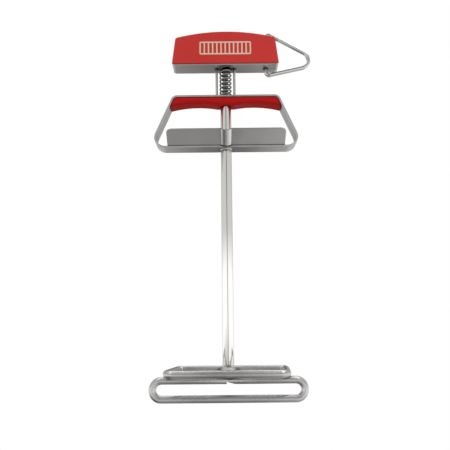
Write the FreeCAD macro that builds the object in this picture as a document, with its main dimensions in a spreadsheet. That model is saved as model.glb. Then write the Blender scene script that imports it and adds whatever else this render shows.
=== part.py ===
"""A spring-closed lifter for barbecue cooking grates, as a parametric FreeCAD document.

Frame: millimetres, +Z up, +X towards the hanging ring, -Y towards the front. The origin is on the shaft's
line, at the underside of the top handle's steel base. The palm holds the top handle, and two fingers pull
the frame up along the inner rod, against the spring, which lifts the upper jaw off the lower jaw.
"""

import FreeCAD, Part

import math
import os
import re

import Sketcher
from FreeCAD import Placement, Rotation, Vector

DIMENSIONS = {
    # the top handle: a steel band round two red covers
    "handle_depth": (18.0, "front to back"),
    "handle_base_half": (56.0, "half the band's length along its base"),
    "handle_top_half": (52.4, "half the band's length at its top corners"),
    "handle_corner_rise": (30.7, "top corners above the base"),
    "handle_apex_rise": (43.0, "where the two halves of the arched top would meet unrounded"),
    "handle_arch_radius": (205.0, "the arched top"),
    "band_thickness": (1.5, "steel band of the handle"),
    "band_corner": (3.0, "outer corner radius of the band"),
    "cover_inset": (0.25, "the grip stands back from its frame's edges, each side"),
    "cover_lip": (1.0, "the covers' lips over the band's front and back edges"),
    "cover_fit": (0.05, "the covers' gap to the band"),
    "cover_edge": (0.8, "rounded rim of each cover"),
    "badge_half": (27.0, "half length of the badge on the front cover"),
    "badge_half_high": (7.3, "half height of the badge"),
    "badge_rise": (18.4, "the badge's middle above the base"),
    "badge_rim": (1.5, "the badge's rim and its bars"),
    "badge_windows": (12.0, "windows between the badge's bars"),
    "badge_thickness": (0.2, "how far the badge stands on the cover"),
    "spring_hole": (6.8, "radius of the hole in the base that the spring passes"),
    "guide_hole": (2.0, "radius of the holes in the base for the guide rods"),
    "cavity_half": (16.0, "half length of the hollow in the covers"),
    "cavity_depth": (14.0, "front to back of the hollow"),
    "cavity_rise": (31.0, "top of the hollow"),
    "screw_spread": (31.0, "cover screws each side of the shaft"),
    "screw_rise": (15.0, "cover screws above the base"),
    "screw_shank": (1.5, "radius"),
    "screw_head": (2.9, "radius"),
    "screw_head_deep": (2.2, "head height"),
    "screw_head_gap": (0.2, "free gap round the head"),
    "screw_long": (13.0, "under the head"),
    # the anchor of the rod inside the handle
    "bracket_half": (14.0, "half length of the bracket"),
    "bracket_depth": (12.0, "front to back"),
    "bracket_rise": (20.0, "top of the bracket above the base's underside"),
    "bracket_thickness": (2.0, "flat steel"),
    "bracket_guide_hole": (1.65, "radius of the holes that the guide rods rise through"),
    "nut_flats": (10.0, "across flats"),
    "nut_high": (5.0, "nut height"),
    "washer_radius": (6.2, "all three washers"),
    "washer_thickness": (1.0, "all three washers"),
    # the inner rod, the spring and the guide rods
    "rod_radius": (2.9, "inner rod"),
    "rod_top": (27.0, "upper end of the inner rod"),
    "rod_gap": (0.4, "free gap round the rod where it passes plates"),
    "spring_radius": (5.65, "to the middle of the wire"),
    "spring_wire": (0.8, "wire radius"),
    "spring_turns": (12.0, "turns"),
    "guide_radius": (1.25, "guide rods"),
    "guide_spread": (9.3, "guide rods each side of the shaft"),
    "guide_top": (6.0, "upper ends of the guide rods"),
    # the pull frame: a closed loop of flat steel with the finger grip in its top
    "frame_top": (-33.0, "upper face of the frame"),
    "frame_floor": (-89.3, "lower face of the frame"),
    "frame_depth": (17.5, "width of the flat steel"),
    "strip_thickness": (2.0, "flat steel"),
    "frame_top_half": (54.6, "half length at the upper face, unrounded"),
    "frame_floor_half": (78.8, "half length at the lower face, unrounded"),
    "frame_top_corner": (6.0, "outer radius"),
    "frame_floor_corner": (11.0, "outer radius"),
    "grip_top_half": (52.7, "half length of the finger grip's top"),
    "grip_end_half": (57.2, "half length at its lower ends"),
    "grip_end": (-45.0, "lower ends of the finger grip"),
    "grip_middle": (-43.2, "its underside beside the tube"),
    "grip_scallop": (-38.9, "where the two sides of each finger scallop would meet unrounded"),
    "grip_scallop_at": (31.0, "scallops each side of the shaft"),
    "grip_scallop_radius": (110.0, "finger scallops"),
    "grip_middle_half": (8.5, "half length of the flat beside the tube"),
    "grip_screw_spread": (40.0, "grip screws each side of the shaft"),
    "grip_screw_bite": (4.0, "how deep the grip screws go into the grip"),
    # the heat guard: one bent sheet lying in the frame
    "guard_half": (59.4, "half length"),
    "guard_thickness": (1.2, "sheet"),
    "guard_fold_half": (8.75, "half width to the folds' outer side"),
    "guard_wing_half": (22.6, "half width to the wings' tips"),
    "guard_wing_rise": (12.1, "wings' tips above the folds"),
    "guard_fold_radius": (1.6, "outer radius of the folds"),
    "guard_corner": (4.5, "rounded corners of the wings"),
    "channel_radius": (6.5, "outer radius of the channel pressed in the front wing, before the tube"),
    "channel_rise": (3.0, "how far it stands out of the wing"),
    "channel_start": (1.0, "from the fold, up the wing"),
    # the shaft
    "tube_radius": (5.5, "outer tube, outside"),
    "tube_bore": (4.5, "outer tube, inside"),
    "tube_foot": (-306.3, "lower end of the outer tube"),
    "bush_length": (12.0, "bushes in the tube's ends"),
    "bush_clearance": (0.06, "running clearance of the rod in the bushes"),
    "tube_gap": (0.1, "free gap round the tube in the parts it passes"),
    # the jaws, of round bar
    "bar_radius": (3.5, "both jaws"),
    "upper_jaw_rise": (-308.8, "middle of the upper jaw's bar"),
    "upper_jaw_half_wide": (16.0, "half width to the middle of the bar"),
    "upper_front_left": (-60.0, "left end of the upper jaw's front bar, along X, unrounded"),
    "upper_front_right": (54.0, "its right end"),
    "upper_back_left": (-48.2, "left end of the upper jaw's back bar, along X, unrounded"),
    "upper_back_right": (56.6, "its right end"),
    "upper_jaw_bend": (6.0, "bend radii, to the middle of the bar"),
    "lower_jaw_top": (-316.5, "middle of the lower jaw's top bar"),
    "lower_jaw_floor": (-333.5, "middle of the lower jaw's floor bar"),
    "lower_jaw_half": (72.0, "half length to the middle of the bar"),
    "jaw_joint": (0.4, "half the gap between the ends of a jaw's bar"),
    "lower_joint_at": (-1.6, "the lower jaw's joint, off the shaft's line"),
    "joint_bevel": (8.0, "length of the bevel under the right end of the lower jaw's bar"),
    "joint_bevel_rise": (2.4, "height of that bevel"),
    "bridge_long": (17.0, "cross plate between the upper jaw's bars"),
    "bridge_thickness": (4.0, "cross plate"),
    "foot_weld": (2.4, "fillet weld where the tube meets the cross plate"),
    "rod_weld": (1.5, "fillet weld where the rod meets the lower jaw"),
    "frame_weld": (1.0, "fillet weld where the tube passes the frame"),
    "weld_lip": (0.3, "how far the thin end of a weld bead stands off"),
    # the hanging ring, of round wire, which turns on its upright side
    "ring_wire": (2.0, "wire radius"),
    "ring_hinge": (42.5, "the upright side, along X"),
    "ring_hole": (2.6, "radius of the holes it turns in"),
    "ring_top": (41.8, "upper left corner, unrounded"),
    "ring_floor": (-8.5, "lower left corner, unrounded"),
    "ring_tip": (104.2, "right corner, unrounded, along X"),
    "ring_tip_rise": (5.5, "right corner, unrounded"),
    "ring_top_bend": (4.5, "bend radii"),
    "ring_floor_bend": (4.0, "bend radii"),
    "ring_tip_bend": (9.5, "bend radii"),
    "ring_joint": (16.0, "where the wire's ends meet, inside the handle"),
}

FRONT_VIEW = Rotation(Vector(1, 0, 0), 90)
"""Turns a drawing's x and y into the part's X and Z."""

ALONG_X = Rotation(Vector(0, 1, 0), 90)
ALONG_Y = Rotation(Vector(1, 0, 0), -90)
"""Turn an upright cylinder or a level circle to face along an axis."""

LEAST_CUT = 0.5
"""A pocket that takes away less than this, in cubic millimetres, has missed."""

nodes = []
doc = FreeCAD.newDocument("grate_lifter")
sheet = doc.addObject("Spreadsheet::Sheet", "dims")
for row, (alias, (size, note)) in enumerate(DIMENSIONS.items(), start=1):
    sheet.set(f"A{row}", alias)
    sheet.set(f"B{row}", str(size))
    sheet.set(f"C{row}", note)
    sheet.setAlias(f"B{row}", alias)
probe = doc.addObject("App::FeaturePython", "probe")
probe.addProperty("App::PropertyFloat", "Reading")
doc.recompute()


def cell(words):
    """The expression with each name of a dimension turned into a reference to its cell."""
    return re.sub(r"[a-z_]{3,}", lambda name: f"dims.{name[0]}" if name[0] in DIMENSIONS else name[0], words)


def value(words):
    """The number that the expression gives with the sheet's present sizes."""
    probe.setExpression("Reading", cell(words))
    probe.recompute()
    return probe.Reading


def bind(thing, **sizes):
    """Bind each property named to its expression."""
    for name, words in sizes.items():
        thing.setExpression(name.replace("__", "."), cell(words))
    return thing


def place(thing, x="0", y="0", z="0"):
    """Bind the object's position."""
    return bind(thing, Placement__Base__x=x, Placement__Base__y=y, Placement__Base__z=z)


# ---- drawings ----


def new_sketch(name, body=None, plane=None):
    """A sketch on one of the body's origin planes, or a free one in the front view."""
    if body is None:
        sketch = doc.addObject("Sketcher::SketchObject", name)
        sketch.Placement = Placement(Vector(), FRONT_VIEW)
        return sketch
    sketch = body.newObject("Sketcher::SketchObject", name)
    support = next(f for f in body.Origin.OriginFeatures if f.Role == plane)
    sketch.AttachmentSupport = [(support, "")]
    sketch.MapMode = "FlatFace"
    return sketch


def fix(sketch, kind, target, words, *more):
    """Add a constraint whose size is bound to the expression."""
    index = sketch.addConstraint(Sketcher.Constraint(kind, *target, *more, value(words)))
    name = f"size_{index}"
    sketch.renameConstraint(index, name)
    sketch.setExpression(f"Constraints.{name}", cell(words))


def pin(sketch, geometry, end, x, y):
    """Fix a point of the drawing from the drawing's origin."""
    for kind, words in (("DistanceX", x), ("DistanceY", y)):
        fix(sketch, kind, (-1, 1), words, geometry, end)


def circle(sketch, radius, x="0", y="0"):
    """Draw a circle."""
    ring = Part.Circle(Vector(value(x), value(y), 0), Vector(0, 0, 1), value(radius))
    index = sketch.addGeometry(ring, False)
    fix(sketch, "Radius", (index,), radius)
    pin(sketch, index, 3, x, y)


def corner_arc(before, corner, after, radius):
    """The arc that rounds a corner, with its ends in the order of travel."""
    inward = (before - corner).normalize()
    outward = (after - corner).normalize()
    half_angle = inward.getAngle(outward) / 2
    bisector = (inward + outward).normalize()
    centre = corner + bisector * (radius / math.sin(half_angle))
    reach = radius / math.tan(half_angle)
    first = corner + inward * reach
    last = corner + outward * reach
    middle = centre - bisector * radius
    ends = (first, last) if inward.cross(outward).z < 0 else (last, first)
    return Part.Arc(ends[0], middle, ends[1]), first, last


def outline(sketch, corners, closed=True):
    """Draw straight sides between the corners, each (x, y, radius or None), rounded where it has one."""
    points = [Vector(value(x), value(y), 0) for x, y, _ in corners]
    count = len(corners)
    starts, ends, arcs = list(points), list(points), {}
    for i, (_, _, radius) in enumerate(corners):
        if radius is None:
            continue
        arc, first, last = corner_arc(points[i - 1], points[i], points[(i + 1) % count], value(radius))
        ends[i], starts[i] = first, last
        arcs[i] = arc
    sides = {}
    for i in range(count if closed else count - 1):
        side = Part.LineSegment(starts[i], ends[(i + 1) % count])
        sides[i] = sketch.addGeometry(side, False)
    for i, (x, y, radius) in enumerate(corners):
        before = sides.get((i - 1) % count)
        after = sides.get(i)
        if radius is None:
            if before is not None and after is not None:
                sketch.addConstraint(Sketcher.Constraint("Coincident", before, 2, after, 1))
            pin(sketch, *((after, 1) if after is not None else (before, 2)), x, y)
            continue
        arc = sketch.addGeometry(arcs[i], False)
        curve = sketch.Geometry[arc]
        starts_here = curve.StartPoint.distanceToPoint(ends[i]) < curve.EndPoint.distanceToPoint(ends[i])
        first = 1 if starts_here else 2
        sketch.addConstraint(Sketcher.Constraint("Tangent", before, 2, arc, first))
        sketch.addConstraint(Sketcher.Constraint("Tangent", arc, 3 - first, after, 1))
        fix(sketch, "Radius", (arc,), radius)
        apex = sketch.addGeometry(Part.Point(points[i]), True)
        sketch.addConstraint(Sketcher.Constraint("PointOnObject", apex, 1, before))
        sketch.addConstraint(Sketcher.Constraint("PointOnObject", apex, 1, after))
        pin(sketch, apex, 1, x, y)


def mirrored(corners):
    """The right half's corners, counter-clockwise from the middle, and their mirror images."""
    return corners + [(f"-({x})", y, radius) for x, y, radius in reversed(corners)]


# ---- features ----


def new_body(label):
    """A PartDesign body that is a node of the part."""
    body = doc.addObject("PartDesign::Body", label)
    body.Label = label
    return body


def pad(body, sketch, length, side="Symmetric", reverse=False):
    """Thicken the drawing."""
    feature = body.newObject("PartDesign::Pad", f"{sketch.Name}_pad")
    feature.Profile = sketch
    feature.SideType = side
    feature.Reversed = reverse
    bind(feature, Length=length)
    body.Tip = feature
    doc.recompute()
    return feature


def pocket(body, sketch, length, side="Symmetric", reverse=False):
    """Cut the drawing out of the body, and make sure that something was cut."""
    before = body.Shape.Volume
    feature = body.newObject("PartDesign::Pocket", f"{sketch.Name}_pocket")
    feature.Profile = sketch
    feature.SideType = side
    feature.Reversed = reverse
    bind(feature, Length=length)
    body.Tip = feature
    doc.recompute()
    if body.Shape.Volume > before - LEAST_CUT:
        raise RuntimeError(f"{feature.Name} cuts nothing")
    return feature


def round_edges(body, radius, wanted):
    """Fillet the edges of the body that the test wants."""
    tip = body.Tip
    names = [f"Edge{i}" for i, edge in enumerate(tip.Shape.Edges, start=1) if wanted(edge)]
    feature = body.newObject("PartDesign::Fillet", f"{body.Name}_rounding")
    feature.Base = (tip, names)
    bind(feature, Radius=radius)
    body.Tip = feature
    doc.recompute()
    return feature


def cylinder(name, radius, low, high, x="0", y="0"):
    """An upright cylinder between two heights."""
    solid = doc.addObject("Part::Cylinder", name)
    bind(solid, Radius=radius, Height=f"({high}) - ({low})")
    return place(solid, x, y, low)


def crosswise_cylinder(name, radius, front, back, x, z):
    """A cylinder along Y between two depths."""
    solid = doc.addObject("Part::Cylinder", name)
    solid.Placement = Placement(Vector(), ALONG_Y)
    bind(solid, Radius=radius, Height=f"({back}) - ({front})")
    return place(solid, x, front, z)


def block(name, x, y, z):
    """A box between the low and high expressions of each axis."""
    solid = doc.addObject("Part::Box", name)
    bind(solid, Length=f"({x[1]}) - ({x[0]})", Width=f"({y[1]}) - ({y[0]})", Height=f"({z[1]}) - ({z[0]})")
    return place(solid, x[0], y[0], z[0])


def fuse(name, *solids):
    """Join solids."""
    joined = doc.addObject("Part::MultiFuse", name)
    joined.Shapes = list(solids)
    return joined


def cut(name, base, *tools):
    """Take the tools out of the base."""
    result = doc.addObject("Part::Cut", name)
    result.Base = base
    result.Tool = tools[0] if len(tools) == 1 else fuse(f"{name}_tools", *tools)
    return result


def node(thing, label):
    """Name an object as a node of the part."""
    thing.Label = label
    nodes.append(thing)
    return thing


def extrude(name, drawing, depth):
    """Thicken a free drawing, half to each side."""
    solid = doc.addObject("Part::Extrusion", name)
    solid.Base = drawing
    solid.DirMode = "Normal"
    solid.Solid = True
    solid.Symmetric = True
    return bind(solid, LengthFwd=depth)


def band(name, drawing, thickness, depth):
    """A closed loop of flat steel whose outer side is the drawing."""
    ring = doc.addObject("Part::Offset2D", f"{name}_ring")
    ring.Source = drawing
    ring.Fill = True
    bind(ring, Value=f"-({thickness})")
    return extrude(name, ring, depth)


def bent_bar(name, spine, radius, x, y, z, turn):
    """A round bar along the drawing, whose section starts at the point given."""
    section = doc.addObject("Part::Circle", f"{name}_section")
    section.Placement = Placement(Vector(), turn)
    bind(section, Radius=radius)
    place(section, x, y, z)
    spine.recompute()
    bar = doc.addObject("Part::Sweep", name)
    bar.Sections = [section]
    bar.Spine = (spine, [f"Edge{i}" for i, _ in enumerate(spine.Shape.Edges, start=1)])
    bar.Solid = True
    bar.Frenet = False
    bar.Transition = "Right corner"
    return bar


def fillet_weld(name, inner, size, level, upward):
    """A weld bead round a round bar, standing on a face at the level given."""
    bead = doc.addObject("Part::Cone", f"{name}_cone")
    wide, narrow = f"{inner} + {size}", f"{inner} + weld_lip"
    low = level if upward else f"{level} - {size}"
    first, last = (wide, narrow) if upward else (narrow, wide)
    bind(bead, Radius1=first, Radius2=last, Height=size)
    place(bead, z=low)
    return bead


# ---- the top handle ----


def handle_corners(inset, corner):
    """The handle's outline, arched over the top, moved inwards and with its corners rounded."""
    lean = "(handle_base_half - handle_top_half) / handle_corner_rise"
    slope = "(handle_apex_rise - handle_corner_rise) / handle_top_half"
    apex_rise = f"handle_apex_rise - ({inset}) * sqrt(1 + pow({slope}; 2))"
    apex = ("0", apex_rise, f"handle_arch_radius - ({inset})")
    right = [
        (f"handle_base_half - ({inset}) * ({lean} + sqrt(1 + pow({lean}; 2)))", inset, corner),
        (f"handle_top_half - ({inset})", f"handle_corner_rise - ({inset})", corner),
    ]
    left = [(f"-({x})", y, radius) for x, y, radius in reversed(right)]
    return right + [apex] + left


def make_handle_band():
    drawing = new_sketch("handle_outline")
    outline(drawing, handle_corners("0", "band_corner"))
    loop = band("handle_loop", drawing, "band_thickness", "handle_depth")
    high = "handle_apex_rise"
    holes = [
        cylinder("spring_passage", "spring_hole", "-1", "cavity_rise / 2"),
        cylinder("left_guide_passage", "guide_hole", "-1", "cavity_rise / 2", "-guide_spread"),
        cylinder("right_guide_passage", "guide_hole", "-1", "cavity_rise / 2", "guide_spread"),
        cylinder("ring_passage", "ring_hole", "-1", high, "ring_hinge"),
    ]
    node(cut("handle_band", loop, *holes), "handle_band")


def lip_corners():
    """The handle's outline down to the top of the band's base."""
    low = "(band_thickness + cover_fit)"
    lean = "(handle_base_half - handle_top_half) / handle_corner_rise"
    corners = handle_corners("0", "band_corner")
    half = f"handle_base_half - {low} * {lean}"
    return [(half, low, None)] + corners[1:-1] + [(f"-({half})", low, None)]


def cover(name, front):
    """Half of the red filling of the band, with a lip over the band's front or back edge."""
    body = new_body(name)
    drawing = new_sketch(f"{name}_outline", body, "XZ_Plane")
    outline(drawing, handle_corners("band_thickness + cover_fit", "band_corner - band_thickness"))
    pad(body, drawing, "handle_depth / 2 + cover_lip", "One side", reverse=not front)
    lip = new_sketch(f"{name}_lip", body, "XZ_Plane")
    outline(lip, lip_corners())
    sign = "" if front else "-"
    bind(lip, AttachmentOffset__Base__z=f"{sign}(handle_depth / 2 + cover_fit)")
    pad(body, lip, "cover_lip - cover_fit", "One side", reverse=not front)
    face_at = value("handle_depth / 2 + cover_lip") * (-1 if front else 1)
    round_edges(body, "cover_edge", lambda edge: all(abs(v.Point.y - face_at) < 0.001 for v in edge.Vertexes))
    hollow = new_sketch(f"{name}_hollow", body, "XZ_Plane")
    low, high = "band_thickness - 1", "cavity_rise"
    outline(hollow, mirrored([("cavity_half", low, None), ("cavity_half", high, None)]))
    pocket(body, hollow, "cavity_depth")
    ring_way = new_sketch(f"{name}_ring_way", body, "XY_Plane")
    circle(ring_way, "ring_hole", "ring_hinge")
    pocket(body, ring_way, "3 * handle_apex_rise")
    screw_way = new_sketch(f"{name}_screw_way", body, "XZ_Plane")
    reach = "screw_long - handle_depth / 2 - cover_lip + screw_head_deep" if front else "handle_depth"
    for x in ("-screw_spread", "screw_spread"):
        circle(screw_way, "screw_shank", x, "screw_rise")
    pocket(body, screw_way, reach, "One side", reverse=front)
    if not front:
        head_way = new_sketch(f"{name}_head_way", body, "XZ_Plane")
        bind(head_way, AttachmentOffset__Base__z="-(handle_depth / 2 + cover_lip)")
        for x in ("-screw_spread", "screw_spread"):
            circle(head_way, "screw_head + screw_head_gap", x, "screw_rise")
        pocket(body, head_way, "screw_head_deep", "One side", reverse=True)
    node(body, name)


def make_cover_screws():
    screws = []
    back = "handle_depth / 2 + cover_lip"
    under = f"{back} - screw_head_deep"
    for side, x in (("left", "-screw_spread"), ("right", "screw_spread")):
        shank = crosswise_cylinder(
            f"{side}_screw_shank", "screw_shank", f"{under} - screw_long", under, x, "screw_rise"
        )
        head = crosswise_cylinder(f"{side}_screw_head", "screw_head", under, back, x, "screw_rise")
        socket = doc.addObject("Part::Prism", f"{side}_screw_socket")
        socket.Polygon = 6
        socket.Placement = Placement(Vector(), ALONG_Y)
        bind(socket, Circumradius="screw_shank", Height="screw_head_deep")
        place(socket, x, f"{back} - screw_head_deep / 2", "screw_rise")
        screws.append(cut(f"{side}_cover_screw", fuse(f"{side}_screw_body", shank, head), socket))
    group = doc.addObject("Part::Compound", "cover_screws")
    group.Links = screws
    node(group, "cover_screws")


def make_cover_badge():
    """A plain badge on the front cover: a small grate of upright bars in a rim."""
    body = new_body("cover_badge")
    drawing = new_sketch("badge_outline", body, "XZ_Plane")
    corners = mirrored([("badge_half", "badge_rise - badge_half_high", "badge_rim")])
    top = mirrored([("-badge_half", "badge_rise + badge_half_high", "badge_rim")])
    outline(drawing, [corners[1], corners[0], top[1], top[0]])
    step = "(2 * badge_half - badge_rim) / badge_windows"
    low, high = "badge_rise - badge_half_high + badge_rim", "badge_rise + badge_half_high - badge_rim"
    for window in range(int(value("badge_windows"))):
        left = f"-badge_half + badge_rim + {window} * {step}"
        right = f"{left} + {step} - badge_rim"
        outline(drawing, [(left, low, None), (right, low, None), (right, high, None), (left, high, None)])
    bind(drawing, AttachmentOffset__Base__z="handle_depth / 2 + cover_lip")
    pad(body, drawing, "badge_thickness", "One side")
    node(body, "cover_badge")


def make_rod_bracket():
    """An upside-down U of flat steel that stands on the band's base and holds the rod's upper end."""
    body = new_body("rod_bracket")
    drawing = new_sketch("bracket_section", body, "XZ_Plane")
    inside, under = "bracket_half - bracket_thickness", "bracket_rise - bracket_thickness"
    outer = mirrored([
        ("bracket_half", "band_thickness", None),
        ("bracket_half", "bracket_rise", "2 * bracket_thickness"),
    ])
    inner = mirrored([(inside, "band_thickness", None), (inside, under, "bracket_thickness")])
    outline(drawing, outer + inner[::-1])
    pad(body, drawing, "bracket_depth")
    holes = new_sketch("bracket_holes", body, "XY_Plane")
    circle(holes, "rod_radius")
    for x in ("-guide_spread", "guide_spread"):
        circle(holes, "bracket_guide_hole", x)
    pocket(body, holes, "3 * bracket_rise")
    node(body, "rod_bracket")


def washer(name, low, hole="rod_radius"):
    """A flat washer round the shaft's line, lying on a level."""
    body = new_body(name)
    drawing = new_sketch(f"{name}_ring", body, "XY_Plane")
    circle(drawing, "washer_radius")
    circle(drawing, hole)
    pad(body, drawing, "washer_thickness", "One side")
    place(body, z=low)
    node(body, name)


def make_rod_nut():
    body = new_body("rod_nut")
    drawing = new_sketch("nut_hexagon", body, "XY_Plane")
    radius = "nut_flats / sqrt(3)"
    half = "nut_flats / 2"
    corners = [(radius, "0"), (f"{radius} / 2", half), (f"-({radius}) / 2", half)]
    corners += [(f"-({radius})", "0"), (f"-({radius}) / 2", f"-{half}"), (f"{radius} / 2", f"-{half}")]
    outline(drawing, [(x, y, None) for x, y in corners])
    circle(drawing, "rod_radius")
    pad(body, drawing, "nut_high", "One side")
    place(body, z="bracket_rise + washer_thickness")
    node(body, "rod_nut")


# ---- the rod, the spring and the lower jaw ----


def bar_across(name, rise):
    """A cylinder of a jaw bar's size along X over the shaft, for coping what stands on the bar."""
    solid = doc.addObject("Part::Cylinder", name)
    solid.Placement = Placement(Vector(), ALONG_X)
    bind(solid, Radius="bar_radius", Height="4 * bar_radius")
    return place(solid, "-2 * bar_radius", "0", rise)


def make_inner_rod():
    rod = cylinder("rod_blank", "rod_radius", "lower_jaw_top + bar_radius / 2", "rod_top")
    node(cut("inner_rod", rod, bar_across("rod_cope", "lower_jaw_top")), "inner_rod")


def make_rod_weld():
    level = "lower_jaw_top + bar_radius - rod_weld"
    bead = fillet_weld("rod_weld", "rod_radius", "2 * rod_weld", level, upward=True)
    rod = cylinder("rod_weld_bore", "rod_radius", f"{level} - 1", "tube_foot")
    node(cut("rod_weld", bead, rod, bar_across("rod_weld_cope", "lower_jaw_top")), "rod_weld")


def make_lower_jaw():
    """An upright loop of round bar, whose ends meet in its top bar under the rod, the right one bevelled."""
    spine = new_sketch("lower_jaw_line")
    bend = "(lower_jaw_top - lower_jaw_floor) / 2 - 0.001"
    start, end = "lower_joint_at + jaw_joint", "lower_joint_at - jaw_joint"
    corners = [
        (start, "lower_jaw_top", None),
        ("lower_jaw_half", "lower_jaw_top", bend),
        ("lower_jaw_half", "lower_jaw_floor", bend),
        ("-lower_jaw_half", "lower_jaw_floor", bend),
        ("-lower_jaw_half", "lower_jaw_top", bend),
        (end, "lower_jaw_top", None),
    ]
    outline(spine, corners, closed=False)
    bar = bent_bar("lower_jaw_bar", spine, "bar_radius", start, "0", "lower_jaw_top", ALONG_X)
    under = "lower_jaw_top - bar_radius"
    below = f"{under} - joint_bevel_rise"
    bevel = new_sketch("lower_jaw_bevel_outline")
    corners = [
        ("lower_joint_at", f"{under} + joint_bevel_rise * (1 + jaw_joint / joint_bevel)", None),
        ("lower_joint_at", below, None),
        (f"{start} + 2 * joint_bevel", below, None),
    ]
    outline(bevel, corners)
    node(cut("lower_jaw", bar, extrude("lower_jaw_bevel", bevel, "4 * bar_radius")), "lower_jaw")


def make_spring():
    wire_line = doc.addObject("Part::Helix", "spring_line")
    low, high = "frame_top + washer_thickness", "bracket_rise - bracket_thickness - washer_thickness"
    height = f"({high}) - ({low}) - 2 * spring_wire"
    bind(wire_line, Radius="spring_radius", Height=height, Pitch=f"({height}) / spring_turns")
    place(wire_line, z=f"{low} + spring_wire")
    section = doc.addObject("Part::Circle", "spring_section")
    section.Placement = Placement(Vector(), Rotation(Vector(1, 0, 0), 90))
    bind(section, Radius="spring_wire")
    place(section, "spring_radius", "0", f"{low} + spring_wire")
    coil = doc.addObject("Part::Sweep", "compression_spring")
    coil.Sections = [section]
    coil.Spine = (wire_line, ["Edge1"])
    coil.Solid = True
    coil.Frenet = True
    node(coil, "compression_spring")


# ---- the hanging ring ----


def make_hanging_ring():
    """A bent triangle of round wire, whose ends meet in its upright side, inside the handle."""
    spine = new_sketch("ring_line")
    corners = [
        ("ring_hinge", "ring_joint + jaw_joint", None),
        ("ring_hinge", "ring_top", "ring_top_bend"),
        ("ring_tip", "ring_tip_rise", "ring_tip_bend"),
        ("ring_hinge", "ring_floor", "ring_floor_bend"),
        ("ring_hinge", "ring_joint - jaw_joint", None),
    ]
    outline(spine, corners, closed=False)
    joint = ("ring_hinge", "0", "ring_joint + jaw_joint")
    node(bent_bar("hanging_ring", spine, "ring_wire", *joint, Rotation()), "hanging_ring")


# ---- the pull frame ----


def make_pull_frame():
    drawing = new_sketch("frame_outline")
    right = [
        ("frame_floor_half", "frame_floor", "frame_floor_corner"),
        ("frame_top_half", "frame_top", "frame_top_corner"),
    ]
    outline(drawing, mirrored(right))
    loop = band("frame_loop", drawing, "strip_thickness", "frame_depth")
    over, under = "frame_top + 1", "frame_top - strip_thickness - 1"
    tools = [cylinder("frame_rod_passage", "rod_radius + rod_gap", under, over)]
    halfway = "(frame_floor + frame_top) / 2"
    tools.append(cylinder("frame_tube_passage", "tube_radius + tube_gap", "frame_floor - 1", halfway))
    for side, sign in (("left", "-"), ("right", "")):
        tools.append(cylinder(f"{side}_guide_seat", "guide_radius", under, over, f"{sign}guide_spread"))
        tools.append(cylinder(f"{side}_screw_seat", "screw_shank", under, over, f"{sign}grip_screw_spread"))
        tools.append(countersink(f"{side}_head_seat", f"{sign}grip_screw_spread"))
    node(cut("pull_frame", loop, *tools), "pull_frame")


def make_finger_grip():
    """The red filling of the frame's top, with a scallop for a finger each side of the tube."""
    body = new_body("finger_grip")
    drawing = new_sketch("grip_outline", body, "XZ_Plane")
    top = "frame_top - strip_thickness"
    right = [
        ("grip_middle_half", "grip_middle", None),
        ("grip_scallop_at", "grip_scallop", "grip_scallop_radius"),
        ("grip_end_half", "grip_end", None),
        ("grip_top_half", top, "frame_top_corner - strip_thickness"),
    ]
    outline(drawing, mirrored(right))
    pad(body, drawing, "frame_depth - 2 * cover_inset")
    bore = new_sketch("grip_bore", body, "XY_Plane")
    circle(bore, "tube_radius + tube_gap")
    pocket(body, bore, "-2 * frame_floor")
    screw_way = new_sketch("grip_screw_way", body, "XY_Plane")
    for x in ("-grip_screw_spread", "grip_screw_spread"):
        circle(screw_way, "screw_shank", x)
    bind(screw_way, AttachmentOffset__Base__z=top)
    pocket(body, screw_way, "grip_screw_bite", "One side")
    node(body, "finger_grip")


def countersink(name, x):
    """The cone of a grip screw's head, flush with the frame's upper face."""
    cone = doc.addObject("Part::Cone", name)
    bind(cone, Radius1="screw_shank", Radius2="screw_head", Height="screw_head - screw_shank")
    return place(cone, x, "0", "frame_top - (screw_head - screw_shank)")


def make_grip_screws():
    screws = []
    for side, x in (("left", "-grip_screw_spread"), ("right", "grip_screw_spread")):
        foot = "frame_top - strip_thickness - grip_screw_bite"
        shank = cylinder(f"{side}_grip_shank", "screw_shank", foot, "frame_top", x)
        screws.append(fuse(f"{side}_grip_screw", shank, countersink(f"{side}_grip_head", x)))
    group = doc.addObject("Part::Compound", "grip_screws")
    group.Links = screws
    node(group, "grip_screws")


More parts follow.
